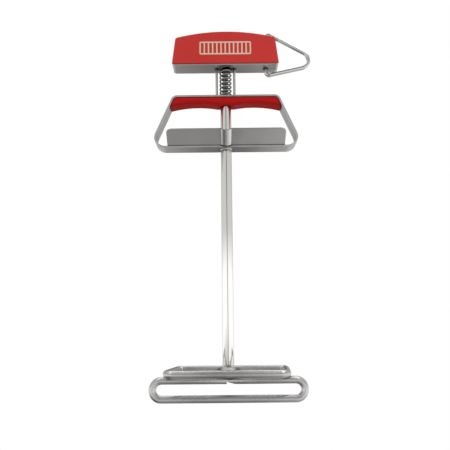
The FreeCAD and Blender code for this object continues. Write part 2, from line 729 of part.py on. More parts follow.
def make_heat_guard():
    """A sheet bent up in front and behind, lying on the frame's lower side round the tube."""
    body = new_body("guard_sheet")
    drawing = new_sketch("guard_section", body, "YZ_Plane")
    base = "frame_floor + strip_thickness"
    run = "(guard_wing_half - guard_fold_half)"
    length = f"sqrt(pow({run}; 2) + pow(guard_wing_rise; 2))"
    out = f"guard_thickness * guard_wing_rise / {length}"
    up = f"guard_thickness * {run} / {length}"
    inner_fold = f"guard_fold_half - guard_thickness * ({length} - {run}) / guard_wing_rise"
    right = [
        ("guard_fold_half", base, "guard_fold_radius"),
        ("guard_wing_half", f"{base} + guard_wing_rise", None),
        (f"guard_wing_half - {out}", f"{base} + guard_wing_rise + {up}", None),
        (inner_fold, f"{base} + guard_thickness", "guard_fold_radius - guard_thickness"),
    ]
    outline(drawing, mirrored(right))
    pad(body, drawing, "2 * guard_half")
    tip_rise = value(f"{base} + guard_wing_rise") - 0.01

    def is_wing_corner(edge):
        points = [vertex.Point for vertex in edge.Vertexes]
        return all(point.z > tip_rise for point in points) and abs(points[0].x - points[-1].x) < 0.001

    round_edges(body, "guard_corner", is_wing_corner)
    hole = new_sketch("guard_hole", body, "XY_Plane")
    circle(hole, "tube_radius + tube_gap")
    pocket(body, hole, "-3 * frame_floor")
    fold = Vector(0, -value("guard_fold_half"), value(base))
    lean = math.degrees(math.atan(value(f"{run} / guard_wing_rise")))
    wing = Placement(fold, Rotation(Vector(1, 0, 0), lean))
    start, deep = value("channel_start"), value("channel_radius - channel_rise")
    axis = wing.multiply(Placement(Vector(0, deep, start), Rotation()))
    outside = doc.addObject("Part::Cylinder", "channel_outside")
    bind(outside, Radius="channel_radius", Height=f"{length} - channel_start")
    outside.Placement = axis
    inside = doc.addObject("Part::Cylinder", "channel_inside")
    bind(inside, Radius="channel_radius - guard_thickness", Height=f"{length} + guard_corner")
    inside.Placement = axis
    trough = doc.addObject("Part::Box", "channel_trough_side")
    bind(trough, Length="4 * channel_radius", Width="4 * channel_radius", Height=f"2 * {length}")
    trough.Placement = wing.multiply(
        Placement(Vector(-value("2 * channel_radius"), value("guard_thickness / 2"), -start), Rotation())
    )
    channel = cut("guard_channel", outside, trough)
    node(cut("channelled_guard", fuse("guard_with_channel", body, channel), inside), "heat_guard")


def make_guide_rod(side, x):
    rod = cylinder(f"guide_rod_{side}", "guide_radius", "frame_top - strip_thickness", "guide_top", x)
    node(rod, f"guide_rod_{side}")


# ---- the tube and the upper jaw ----


def make_outer_tube():
    top = "frame_top - strip_thickness"
    wall = cylinder("tube_blank", "tube_radius", "tube_foot", top)
    bore = cylinder("tube_hollow", "tube_bore", "tube_foot - 1", "0")
    node(cut("outer_tube", wall, bore), "outer_tube")


def tube_bush(name, low):
    """A bush pressed into an end of the tube, which the rod slides in."""
    outside = cylinder(f"{name}_blank", "tube_bore", low, f"{low} + bush_length")
    inside = cylinder(f"{name}_bore", "rod_radius + bush_clearance", f"{low} - 1", f"{low} + bush_length + 1")
    node(cut(name, outside, inside), name)


def make_upper_jaw():
    """A flat-lying loop of round bar with one slanted end, whose bar meets itself under the cross plate."""
    spine = new_sketch("upper_jaw_line")
    spine.Placement = Placement()
    place(spine, z="upper_jaw_rise")
    corners = [
        ("jaw_joint", "upper_jaw_half_wide", None),
        ("upper_back_right", "upper_jaw_half_wide", "upper_jaw_bend"),
        ("upper_front_right", "-upper_jaw_half_wide", "upper_jaw_bend"),
        ("upper_front_left", "-upper_jaw_half_wide", "upper_jaw_bend"),
        ("upper_back_left", "upper_jaw_half_wide", "upper_jaw_bend"),
        ("-jaw_joint", "upper_jaw_half_wide", None),
    ]
    outline(spine, corners, closed=False)
    joint = ("jaw_joint", "upper_jaw_half_wide", "upper_jaw_rise")
    node(bent_bar("upper_jaw", spine, "bar_radius", *joint, ALONG_X), "upper_jaw")


def make_jaw_bridge():
    """A cross plate between the upper jaw's bars, which carries the tube's foot."""
    half = "bridge_long / 2"
    plate = block(
        "bridge_blank",
        (f"-{half}", half),
        ("-upper_jaw_half_wide", "upper_jaw_half_wide"),
        ("tube_foot - bridge_thickness", "tube_foot"),
    )
    under = "tube_foot - 2 * bridge_thickness"
    tools = [cylinder("bridge_rod_passage", "rod_radius + rod_gap", under, "tube_foot + 1")]
    for side, y in (("front", "-upper_jaw_half_wide"), ("back", "upper_jaw_half_wide")):
        bar = doc.addObject("Part::Cylinder", f"bridge_{side}_bar")
        bar.Placement = Placement(Vector(), ALONG_X)
        bind(bar, Radius="bar_radius", Height="2 * bridge_long")
        tools.append(place(bar, "-bridge_long", y, "upper_jaw_rise"))
    node(cut("jaw_bridge", plate, *tools), "jaw_bridge")


def make_tube_weld(name, level, size, upward):
    """A weld bead round the tube."""
    bead = fillet_weld(name, "tube_radius", size, level, upward)
    tube = cylinder(f"{name}_bore", "tube_radius", f"{level} - 2 * {size}", f"{level} + 2 * {size}")
    node(cut(name, bead, tube), name)


# ---- the whole lifter ----


def check_document():
    """Stop if any object has failed or any node has no sound shape."""
    for thing in doc.Objects:
        if {"Invalid", "Error"} & set(thing.State):
            raise RuntimeError(f"{thing.Name} is {thing.State}")
    for thing in nodes:
        if thing.Shape.isNull() or not thing.Shape.isValid() or not thing.Shape.Solids:
            raise RuntimeError(f"{thing.Label} has no sound shape")


make_handle_band()
cover("handle_cover_front", front=True)
cover("handle_cover_back", front=False)
make_cover_badge()
make_cover_screws()
make_rod_bracket()
washer("rod_washer", "bracket_rise")
washer("spring_seat", "bracket_rise - bracket_thickness - washer_thickness")
make_rod_nut()
make_inner_rod()
make_rod_weld()
make_lower_jaw()
make_spring()
make_hanging_ring()
make_pull_frame()
make_finger_grip()
make_grip_screws()
make_heat_guard()
make_guide_rod("left", "-guide_spread")
make_guide_rod("right", "guide_spread")
washer("spring_washer", "frame_top", hole="rod_radius + rod_gap")
make_outer_tube()
tube_bush("tube_bush_upper", "frame_top - strip_thickness - bush_length")
tube_bush("tube_bush_lower", "tube_foot")
make_upper_jaw()
make_jaw_bridge()
make_tube_weld("tube_foot_weld", "tube_foot", "foot_weld", upward=True)
make_tube_weld("frame_weld", "frame_floor", "frame_weld", upward=False)

doc.removeObject("probe")
doc.recompute()
check_document()
os.makedirs("parts", exist_ok=True)
for thing in nodes:
    thing.Shape.exportStep(f"parts/{thing.Label}.step")
    box = thing.Shape.BoundBox
    low = f"{box.XMin:.1f} {box.YMin:.1f} {box.ZMin:.1f}"
    high = f"{box.XMax:.1f} {box.YMax:.1f} {box.ZMax:.1f}"
    print(f"{thing.Label:20s} volume {thing.Shape.Volume:9.1f}  from {low}  to {high}")
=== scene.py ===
"""The looks of the grill grate lifter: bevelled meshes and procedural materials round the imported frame.

Lengths of the pieces are millimetres in the row's frame, and new_piece() turns them into metres. The
studio is in metres. A drawing is a list of 2-D points in one of three planes: FRONT has x and z, LEVEL
has x and y, and SIDE has y and z.
"""

import math

import bmesh
import bpy
from mathutils import Matrix, Vector


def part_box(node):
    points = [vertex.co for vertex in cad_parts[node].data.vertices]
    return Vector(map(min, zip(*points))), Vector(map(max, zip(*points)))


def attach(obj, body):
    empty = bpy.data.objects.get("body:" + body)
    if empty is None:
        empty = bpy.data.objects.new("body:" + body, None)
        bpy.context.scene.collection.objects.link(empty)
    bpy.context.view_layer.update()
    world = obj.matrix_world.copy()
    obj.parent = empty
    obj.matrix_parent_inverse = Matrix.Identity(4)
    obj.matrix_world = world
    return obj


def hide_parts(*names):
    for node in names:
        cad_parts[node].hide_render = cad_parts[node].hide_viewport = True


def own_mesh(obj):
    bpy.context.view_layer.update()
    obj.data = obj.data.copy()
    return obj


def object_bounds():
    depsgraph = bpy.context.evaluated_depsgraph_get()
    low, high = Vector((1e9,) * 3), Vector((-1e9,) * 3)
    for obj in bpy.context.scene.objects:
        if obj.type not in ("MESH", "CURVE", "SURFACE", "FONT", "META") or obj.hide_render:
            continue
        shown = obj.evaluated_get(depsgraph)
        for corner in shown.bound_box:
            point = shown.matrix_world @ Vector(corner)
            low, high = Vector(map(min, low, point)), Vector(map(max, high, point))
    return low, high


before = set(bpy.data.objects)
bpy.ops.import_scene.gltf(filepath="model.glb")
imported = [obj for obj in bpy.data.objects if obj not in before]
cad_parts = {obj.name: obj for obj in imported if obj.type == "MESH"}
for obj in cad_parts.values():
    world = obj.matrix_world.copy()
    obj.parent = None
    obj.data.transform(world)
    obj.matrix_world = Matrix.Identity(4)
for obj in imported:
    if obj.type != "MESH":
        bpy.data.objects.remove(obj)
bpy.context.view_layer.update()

MM = 0.001
FRONT, LEVEL, SIDE = "front", "level", "side"
SHARP_ANGLE = math.radians(38)
# An arc is divided until no chord turns further or is longer than this.
ARC_STEP = math.radians(6)
ARC_CHORD = 1.6
# How far a cutting tool passes out of what it cuts.
PAST = 1.0
# How far the end of a round bar bulges.
END_DOME = 0.3


def box_mm(node):
    """The low and high corners of a CAD node, in millimetres."""
    low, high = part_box(node)
    return low / MM, high / MM


# ---- materials ----


NOISE_RANGE = (0.3, 0.7)
# The mask of the steel's painted shade in creases: its range of openness and its samples.
PAINTED_SHADE_RANGE = (0.50, 0.90)
PAINTED_SHADE_SAMPLES = 16
# Steel's colour is darkened as painted shade where other surfaces are nearer than this many metres.
PAINTED_SHADE_REACH = 0.006
# How much of the steel's colour is left in the deepest painted shade.
PAINTED_SHADE_TONE = 0.06


class Nodes:
    """A material and short ways to add its nodes."""

    def __init__(self, name):
        self.material = bpy.data.materials.new(name)
        self.material.use_nodes = True
        self.tree = self.material.node_tree
        self.shader = self.tree.nodes["Principled BSDF"]

    def add(self, kind, inputs=None, **settings):
        """A node with its settings, and its inputs given as numbers or as sockets to link."""
        node = self.tree.nodes.new(kind)
        for key, setting in settings.items():
            setattr(node, key, setting)
        for key, given in (inputs or {}).items():
            self.feed(node.inputs[key], given)
        return node

    def feed(self, socket, given):
        """Link a socket, or set its number."""
        if isinstance(given, bpy.types.NodeSocket):
            self.tree.links.new(given, socket)
        else:
            socket.default_value = given

    def noise(self, scale, stretch=(1, 1, 1), detail=3.0, roughness=0.5):
        """Noise in object space, in features per metre, drawn out where the stretch is small."""
        where = self.add("ShaderNodeTexCoord").outputs["Object"]
        fitted = self.add("ShaderNodeMapping", {"Vector": where, "Scale": stretch})
        inputs = {
            "Vector": fitted.outputs["Vector"],
            "Scale": scale,
            "Detail": detail,
            "Roughness": roughness,
        }
        return self.add("ShaderNodeTexNoise", inputs).outputs["Fac"]

    def between(self, fac, low, high):
        """A number that runs from low to high with the noise."""
        return self.ranged(fac, NOISE_RANGE, low, high)

    def ranged(self, fac, given, low=0.0, high=1.0):
        """A number that runs from low to high while another runs over the range given."""
        inputs = {"Value": fac, "To Min": low, "To Max": high}
        inputs["From Min"], inputs["From Max"] = given
        return self.add("ShaderNodeMapRange", inputs).outputs["Result"]

    def painted_shade_mask(self, reach):
        """How open each point is, as the mask of the steel's painted shade: 0 deep in a crease, 1 in the
        open.
        """
        node = self.add("ShaderNodeAmbientOcclusion", {"Distance": reach}, samples=PAINTED_SHADE_SAMPLES)
        return self.ranged(node.outputs["AO"], PAINTED_SHADE_RANGE)

    def blend(self, fac, first, second):
        """A colour between two."""
        mix = self.add("ShaderNodeMix", data_type="RGBA")
        sockets = {socket.identifier: socket for socket in mix.inputs}
        self.feed(sockets["Factor_Float"], fac)
        for key, colour in (("A_Color", first), ("B_Color", second)):
            self.feed(sockets[key], (*colour, 1) if isinstance(colour, tuple) else colour)
        return next(socket for socket in mix.outputs if socket.identifier == "Result_Color")

    def total(self, first, second, share=1.0):
        """The first number plus a share of the second."""
        inputs = {0: second, 1: share, 2: first}
        return self.add("ShaderNodeMath", inputs, operation="MULTIPLY_ADD").outputs[0]

    def bump(self, height, distance):
        """Give the shader a bumpy normal."""
        bump = self.add("ShaderNodeBump", {"Height": height, "Distance": distance, "Strength": 1.0})
        self.feed(self.shader.inputs["Normal"], bump.outputs["Normal"])

    def say(self, **inputs):
        """Set the shader's own sockets."""
        for key, given in inputs.items():
            self.feed(self.shader.inputs[key.replace("_", " ")], given)
        return self.material


def darker(colour, share):
    """The colour times a share."""
    return tuple(channel * share for channel in colour)


def steel(name, colour, roughness, along, grain=0.000004, smudge=0.05):
    """Brushed or drawn steel, with fine lines along the axes named and shade painted into its creases."""
    nodes = Nodes(name)
    stretch = tuple(0.012 if axis in along else 1.0 for axis in "xyz")
    lines = nodes.noise(2600.0, stretch, detail=4.0, roughness=0.65)
    coarse = nodes.noise(570.0, stretch, detail=2.0)
    cloud = nodes.noise(38.0)
    both = nodes.total(lines, coarse, 0.6)
    rough = nodes.total(nodes.between(cloud, roughness - smudge, roughness + smudge), lines, 0.10)
    nodes.bump(both, grain)
    tone = nodes.blend(nodes.between(both, 0.0, 1.0), darker(colour, 0.90), colour)
    # Painted shade: the colour darkens in creases where other surfaces stand near.
    tone = nodes.blend(nodes.painted_shade_mask(PAINTED_SHADE_REACH), darker(colour, PAINTED_SHADE_TONE), tone)
    return nodes.say(Base_Color=tone, Metallic=1.0, Roughness=rough)


def plastic(name, colour, roughness, grain=0.00002, shine=0.5):
    """Moulded plastic with a fine grain and slightly uneven colour and gloss."""
    nodes = Nodes(name)
    cloud = nodes.noise(24.0, detail=4.0)
    pebble = nodes.noise(2400.0, detail=2.0)
    nodes.bump(pebble, grain)
    tone = nodes.blend(nodes.between(cloud, 0.0, 1.0), darker(colour, 0.95), darker(colour, 1.04))
    rough = nodes.total(nodes.between(cloud, roughness - 0.04, roughness + 0.04), pebble, 0.06)
    return nodes.say(Base_Color=tone, Roughness=rough, Specular_IOR_Level=shine)


def weld_metal(name):
    """A weld bead, brushed off but still a little tinted in places."""
    nodes = Nodes(name)
    cloud = nodes.noise(420.0, detail=4.0)
    nodes.bump(nodes.noise(1500.0, detail=4.0), 0.00005)
    tone = nodes.blend(nodes.between(cloud, 0.0, 1.0), (0.50, 0.48, 0.44), (0.72, 0.71, 0.69))
    return nodes.say(Base_Color=tone, Metallic=1.0, Roughness=nodes.between(cloud, 0.26, 0.42))


MATERIALS = {
    "strip": steel("strip_steel", (0.64, 0.625, 0.61), 0.28, "xz"),
    "plate": steel("plate_steel", (0.56, 0.55, 0.535), 0.24, "x"),
    "sheet": steel("sheet_steel", (0.74, 0.73, 0.72), 0.26, "x"),
    "upright_bar": steel("upright_bar_steel", (0.57, 0.56, 0.555), 0.24, "xz"),
    "level_bar": steel("level_bar_steel", (0.57, 0.56, 0.555), 0.24, "xy"),
    "wire": steel("wire_steel", (0.60, 0.59, 0.575), 0.12, "xz"),
    "rod": steel("rod_steel", (0.62, 0.61, 0.59), 0.20, "z"),
    "tube": steel("tube_steel", (0.88, 0.87, 0.84), 0.07, "z", grain=0.0000015, smudge=0.02),
    "spring": steel("spring_wire_steel", (0.36, 0.35, 0.33), 0.28, "xy"),
    "fastener": steel("fastener_steel", (0.52, 0.52, 0.51), 0.30, "z"),
    "weld": weld_metal("weld_bead"),
    "handle_red": plastic("handle_red_plastic", (0.64, 0.021, 0.015), 0.42),
    "grip_red": plastic("grip_red_plastic", (0.50, 0.007, 0.006), 0.42, shine=0.12),
    "cream": plastic("badge_cream_plastic", (0.80, 0.62, 0.46), 0.45),
    "bush": plastic("bush_black_plastic", (0.02, 0.02, 0.02), 0.5),
}


def dress(obj, material):
    """Give an object one material."""
    obj.data.materials.clear()
    obj.data.materials.append(MATERIALS[material])
    return obj


# ---- drawings ----


def rounded(corners, closed=True):
    """The points of a line through corners, each (a, b, radius), with arcs in the corners' place."""
    points = []
    count = len(corners)
    for i, (a, b, radius) in enumerate(corners):
        corner = Vector((a, b))
        if radius <= 0:
            points.append(corner)
            continue
        inward = (Vector(corners[i - 1][:2]) - corner).normalized()
        outward = (Vector(corners[(i + 1) % count][:2]) - corner).normalized()
        half = inward.angle(outward) / 2
        centre = corner + (inward + outward).normalized() * (radius / math.sin(half))
        first = corner + inward * (radius / math.tan(half)) - centre
        turn = math.pi - 2 * half
        side = -1 if inward.cross(outward) > 0 else 1
        steps = max(2, math.ceil(turn / ARC_STEP), math.ceil(turn * radius / ARC_CHORD))
        for step in range(steps + 1):
            points.append(centre + Matrix.Rotation(side * turn * step / steps, 2) @ first)
    return points


def mirrored(right):
    """The right half's corners, counter-clockwise from the middle, and their mirror images."""
    return right + [(-a, b, radius) for a, b, radius in reversed(right)]


def lefts(line, closed=True):
    """At each point of the line, the way to its left, as long as keeps a parallel line one unit away."""
    ways = []
    count = len(line)
    for i, point in enumerate(line):
        before = (point - line[i - 1]).normalized() if closed or i > 0 else None
        after = (line[(i + 1) % count] - point).normalized() if closed or i < count - 1 else before
        before = before or after
        ahead = (before + after).normalized()
        left = Vector((-ahead.y, ahead.x))
        ways.append(left / max(0.4, left.dot(Vector((-before.y, before.x)))))
    return ways


def inset(line, distance):
    """A closed drawing moved to its left."""
    return [point + way * distance for point, way in zip(line, lefts(line))]


def square_section(low_u, high_u, low_v, high_v, radius, steps=3):
    """A closed rectangle with rounded corners, for a bar's section."""
    corners = [(low_u, low_v), (high_u, low_v), (high_u, high_v), (low_u, high_v)]
    section = []
    for quarter, (u, v) in enumerate(corners):
        centre_u = u + radius if u == low_u else u - radius
        centre_v = v + radius if v == low_v else v - radius
        centre = Vector((centre_u, centre_v))
        for step in range(steps + 1):
            angle = math.pi * (1 + quarter / 2) + math.pi / 2 * step / steps
            section.append(centre + Vector((math.cos(angle), math.sin(angle))) * radius)
    return section


def round_section(radius, sides=32):
    """A circle, as a bar's section."""
    angles = [2 * math.pi * i / sides for i in range(sides)]
    return [Vector((radius * math.cos(angle), radius * math.sin(angle))) for angle in angles]


def quarter_turn(steps=4):
    """Angles from 0 to a quarter turn."""
    return [math.pi / 2 * step / steps for step in range(steps + 1)]


def rounding(edge, steps=4):
    """A rounded edge, from its side to its end: each point's distance along the side and in from it."""
    return [(edge * (1 - math.cos(t)), edge * (1 - math.sin(t))) for t in quarter_turn(steps)]


# ---- shapes ----


def in_space(plane, point, off):
    """A point of a drawing, off its plane by a distance."""
    a, b = point
    return Vector({FRONT: (a, off, b), LEVEL: (a, b, off), SIDE: (off, a, b)}[plane])


def between_rings(first, second, count, closed=True):
    """The faces between two rings of points, whose first points have these numbers."""
    faces = []
    for k in range(count if closed else count - 1):
        after = (k + 1) % count
        faces.append((first + k, first + after, second + after, second + k))
    return faces


def shade(obj):
    """Smooth the object's faces, but keep its sharp edges."""
    obj.data.polygons.foreach_set("use_smooth", [True] * len(obj.data.polygons))
    obj.data.set_sharp_from_angle(angle=SHARP_ANGLE)


def new_piece(name, vertices, faces, material):
    """A closed mesh object from points in millimetres."""
    mesh = bpy.data.meshes.new(name)
    mesh.from_pydata([Vector(v) * MM for v in vertices], [], faces)
    work = bmesh.new()
    work.from_mesh(mesh)
    bmesh.ops.remove_doubles(work, verts=work.verts, dist=0.000001)
    bmesh.ops.recalc_face_normals(work, faces=work.faces)
    work.to_mesh(mesh)
    work.free()
    obj = bpy.data.objects.new(name, mesh)
    bpy.context.scene.collection.objects.link(obj)
    shade(obj)
    return dress(obj, material)


def settle(obj):
    """Apply the object's modifiers."""
    bpy.context.view_layer.update()
    graph = bpy.context.evaluated_depsgraph_get()
    mesh = bpy.data.meshes.new_from_object(obj.evaluated_get(graph))
    obj.modifiers.clear()
    obj.data = mesh
    shade(obj)
    return obj


def cut_away(obj, *tools, operation="DIFFERENCE"):
    """Cut the tools out of the object, or join them to it, and remove them."""
    for tool in tools:
        boolean = obj.modifiers.new("cut", "BOOLEAN")
        boolean.operation = operation
        boolean.solver = "EXACT"
        boolean.object = tool
    settle(obj)
    for tool in tools:
        bpy.data.objects.remove(tool)
    return obj


def soften(obj, width, segments=2):
    """Bevel the sharp edges of a piece."""
    bevel = obj.modifiers.new("bevel", "BEVEL")
    bevel.width = width * MM
    bevel.segments = segments
    bevel.limit_method = "ANGLE"
    bevel.angle_limit = SHARP_ANGLE
    return obj


def weigh_normals(obj):
    """Keep wide faces flat beside their narrow roundings."""
    weighted = obj.modifiers.new("weighted", "WEIGHTED_NORMAL")
    weighted.keep_sharp = True
    weighted.weight = 80
    return obj


def sweep(name, line, section, material, plane=FRONT, closed=True, off=0.0, dome=0.0):
    """A bar along a drawing. The section's u is off the drawing's plane, its v to the line's left."""
    count, ring = len(line), len(section)
    vertices = []
    for point, way in zip(line, lefts(line, closed)):
        vertices += [in_space(plane, point + way * v, off + u) for u, v in section]
    faces = []
    for i in range(count if closed else count - 1):
        faces += between_rings(i * ring, (i + 1) % count * ring, ring)
    if not closed:
        for first, end in ((0, line[0] - line[1]), ((count - 1) * ring, line[-1] - line[-2])):
            outward = in_space(plane, end.normalized(), 0.0)
            faces += domed_end(vertices, first, ring, outward, dome)
    return new_piece(name, vertices, faces, material)


def domed_end(vertices, first, ring, outward, dome):
    """Close a ring of points with a rounded rim and a flat end, and return its faces."""
    faces = []
    rim = [vertices[first + k] for k in range(ring)]
    centre = sum(rim, Vector()) / ring
    reach = max((point - centre).length for point in rim)
    previous = first
    for angle in quarter_turn()[1:]:
        share = 1 - dome * (1 - math.cos(angle)) / reach
        start = len(vertices)
        out = outward * dome * math.sin(angle)
        vertices += [centre + (point - centre) * share + out for point in rim]
        faces += between_rings(previous, start, ring)
        previous = start
    faces.append(tuple(range(previous, previous + ring)))
    return faces


def plate(name, outline, low, high, material, plane=FRONT, low_rim=0.3, high_rim=0.3):
    """A flat piece with a drawing's outline, between two distances off its plane, with rounded rims."""
    count = len(outline)
    layers = [(low + rise, shrink) for rise, shrink in rounding(low_rim)]
    layers += [(high - rise, shrink) for rise, shrink in reversed(rounding(high_rim))]
    vertices, faces = [], []
    for row, (off, distance) in enumerate(layers):
        vertices += [in_space(plane, point, off) for point in inset(outline, distance)]
        if row:
            faces += between_rings((row - 1) * count, row * count, count)
    faces.append(tuple(range(count)))
    faces.append(tuple(range(len(vertices) - count, len(vertices))))
    return new_piece(name, vertices, faces, material)


def turned(name, profile, material, at=(0, 0, 0), axis="Z", sides=64, closed=False, ripple=None):
    """A turned piece: a profile of (radius, height) points spun round an axis through a point.

    An open profile starts and ends on the axis. A ripple, given a turn angle, scales how far points
    stand out from the profile's first radius."""
    turn = Matrix.Identity(3)
    if axis == "Y":
        turn = Vector((0, 1, 0)).to_track_quat("Z", "Y").to_matrix()
    foot = profile[0][0]
    vertices = []
    for side in range(sides):
        angle = 2 * math.pi * side / sides
        for radius, height in profile:
            reach = foot + (radius - foot) * ripple(angle) if ripple else radius
            point = Vector((reach * math.cos(angle), reach * math.sin(angle), height))
            vertices.append(Vector(at) + turn @ point)
    faces, count = [], len(profile)
    for side in range(sides):
        faces += between_rings(side * count, (side + 1) % sides * count, count, closed)
    return new_piece(name, vertices, faces, material)


def rod(name, radius, low, high, material, x=0.0, y=0.0, edge=0.4, sides=64):
    """A solid upright cylinder with rounded edges."""
    profile = [(0, low)]
    profile += [(radius - shrink, low + rise) for rise, shrink in rounding(edge)]
    profile += [(radius - shrink, high - rise) for rise, shrink in reversed(rounding(edge))]
    profile += [(0, high)]
    return turned(name, profile, material, at=(x, y, 0), sides=sides)


def sleeve(name, outside, inside, low, high, material, edge=0.15, sides=96):
    """A hollow upright cylinder with rounded edges."""
    profile = []
    for radius, level, out, up in (
        (inside, low, 1, 1),
        (outside, low, -1, 1),
        (outside, high, -1, -1),
        (inside, high, 1, -1),
    ):
        steps = rounding(edge, 2) if out * up > 0 else rounding(edge, 2)[::-1]
        profile += [(radius + out * over, level + up * rise) for over, rise in steps]
    return turned(name, profile, material, sides=sides, closed=True)


def drill(radius, low, high, x=0.0, y=0.0, axis="Z"):
    """A plain cylinder to cut with."""
    profile = [(0, low), (radius, low), (radius, high), (0, high)]
    at = (x, y, 0) if axis == "Z" else (x, 0, y)
    return turned("drill", profile, "strip", at=at, axis=axis, sides=48)


def block(low, high):
    """A plain box to cut with."""
    around = [(low[0], low[1]), (high[0], low[1]), (high[0], high[1]), (low[0], high[1])]
    corners = [(x, y, z) for z in (low[2], high[2]) for x, y in around]
    faces = between_rings(0, 4, 4) + [(0, 1, 2, 3), (4, 5, 6, 7)]
    return new_piece("block", corners, faces, "strip")


def prism(corners, front, back):
    """A plain prism in the front view to cut with."""
    count = len(corners)
    points = [(x, y, z) for y in (front, back) for x, z in corners]
    faces = between_rings(0, count, count) + [tuple(range(count)), tuple(range(count, 2 * count))]
    return new_piece("prism", points, faces, "strip")


def tube_radius():
    """The outer tube's radius."""
    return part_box("outer_tube")[1].x / MM


def stand_in(piece, body, slot, *nodes):
    """Let the piece ride on a body and stand for CAD nodes. The slot is not used."""
    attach(piece, body)
    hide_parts(*nodes)
    return piece


# ---- the top handle ----

HANDLE_HALF = 56.0
SHOULDER_HALF = 52.4
SHOULDER_HEIGHT = 30.7
HANDLE_BEND = 3.0
ARCH_CORNER = 43.0
ARCH_RADIUS = 205.0
BAND_THICKNESS = 1.5
BAND_EDGE = 0.3
COVER_GAP = 0.05
COVER_RIM = 0.8
COVER_SHARP = 0.05
COVER_LIP = 0.95
PLUG_SINK = 0.4
ANCHOR_HOLLOW = ((-16, -7, 0.5), (16, 7, 31))
SCREW_GAP = 0.2
SCREW_SINK = 2.2
SPRING_HOLE = 6.8
GUIDE_LINE = 9.3
GUIDE_HOLE = 2.0
RING_LINE = 42.5
RING_HOLE = 2.6
RING_HOLE_PAST = 9.0
RING_WIRE = 2.0
RING_CORNERS = [
    (RING_LINE, 16.4, 0),
    (RING_LINE, 41.8, 4.5),
    (104.2, 5.5, 9.5),
    (RING_LINE, -8.5, 4.0),
    (RING_LINE, 15.6, 0),
]
WASHER_BORE = 2.95


def arched(half, foot, bend):
    """The handle's front, with its feet at this half width and height and rounded this much."""
    right = [(half, foot, bend), (SHOULDER_HALF, SHOULDER_HEIGHT, HANDLE_BEND)]
    return rounded(right + [(0.0, ARCH_CORNER, ARCH_RADIUS)] + mirrored(right)[2:])


handle_outline = arched(HANDLE_HALF, 0.0, HANDLE_BEND)


def make_handle_band():
    """The steel band, with the spring's, the guide rods' and the ring's holes."""
    low, high = box_mm("handle_band")
    section = square_section(low.y, high.y, 0.0, BAND_THICKNESS, BAND_EDGE)
    band = sweep("handle_band_steel", handle_outline, section, "strip")
    over = BAND_THICKNESS + PAST
    cut_away(
        band,
        drill(SPRING_HOLE, -PAST, over),
        drill(GUIDE_HOLE, -PAST, over, -GUIDE_LINE),
        drill(GUIDE_HOLE, -PAST, over, GUIDE_LINE),
        drill(RING_HOLE, -PAST, high.z + RING_HOLE_PAST, RING_LINE),
    )
    stand_in(weigh_normals(band), "handle", "flat_steel", "handle_band")


def lip_outline():
    """The handle's outline down to the top of the band's base."""
    low = BAND_THICKNESS + COVER_GAP
    half = HANDLE_HALF - low * (HANDLE_HALF - SHOULDER_HALF) / SHOULDER_HEIGHT
    return arched(half, low, 0)


def make_cover(side):
    """A moulded red cover: a plug in the band and a lip over its edge, hollow for the rod's anchor."""
    node = f"handle_cover_{side}"
    low, high = box_mm(node)
    outline = inset(handle_outline, BAND_THICKNESS + COVER_GAP)
    if side == "front":
        plug, edge = (low.y + PLUG_SINK, high.y), (low.y, low.y + COVER_LIP)
        rims = (COVER_RIM, COVER_SHARP)
    else:
        plug, edge = (low.y, high.y - PLUG_SINK), (high.y - COVER_LIP, high.y)
        rims = (COVER_SHARP, COVER_RIM)
    cover = plate(f"red_cover_{side}", outline, *plug, "handle_red", FRONT, COVER_SHARP, COVER_SHARP)
    lip = plate(f"red_cover_{side}_lip", lip_outline(), *edge, "handle_red", FRONT, *rims)
    cut_away(cover, lip, operation="UNION")
    tools = [block(*ANCHOR_HOLLOW), drill(RING_HOLE, -PAST, high.z + RING_HOLE_PAST, RING_LINE)]
    if side == "back":
        screws_low, screws_high = box_mm("cover_screws")
        head = (screws_high.z - screws_low.z) / 2
        bottom, top, line = high.y - SCREW_SINK, high.y + PAST, screws_low.z + head
        for x in (screws_low.x + head, screws_high.x - head):
            tools.append(drill(head + SCREW_GAP, bottom, top, x, line, axis="Y"))
    cut_away(cover, *tools)
    stand_in(weigh_normals(cover), "handle", "handle_red", node)


def make_hanging_ring():
    """The bent triangle of wire."""
    line, section = rounded(RING_CORNERS), round_section(RING_WIRE)
    ring = sweep("hanging_ring_wire", line, section, "wire", closed=False, dome=END_DOME)
    stand_in(ring, "ring", "wire_steel", "hanging_ring")


def make_rod():
    """The long inner rod."""
    low, high = box_mm("inner_rod")
    piece = rod("inner_rod_bar", high.x, low.z, high.z, "rod", edge=0.6)
    stand_in(piece, "handle", "wire_steel", "inner_rod")


def make_washers():
    """The three washers."""
    for node, body in (
        ("rod_washer", "handle"),
        ("spring_seat", "handle"),
        ("spring_washer", "pull_frame"),
    ):
        low, high = box_mm(node)
        ring = (high.x, WASHER_BORE, low.z, high.z)
        piece = sleeve(f"{node}_ring", *ring, "fastener", edge=0.12, sides=48)
        stand_in(piece, body, "fastener_steel", node)


# ---- the spring ----

SPRING_TURNS = 12
SPRING_WIRE = 0.8
SPRING_INSET = 0.55
SPRING_LENGTH = 47.4
SPRING_SIDES = 12
SPRING_STEPS = 40


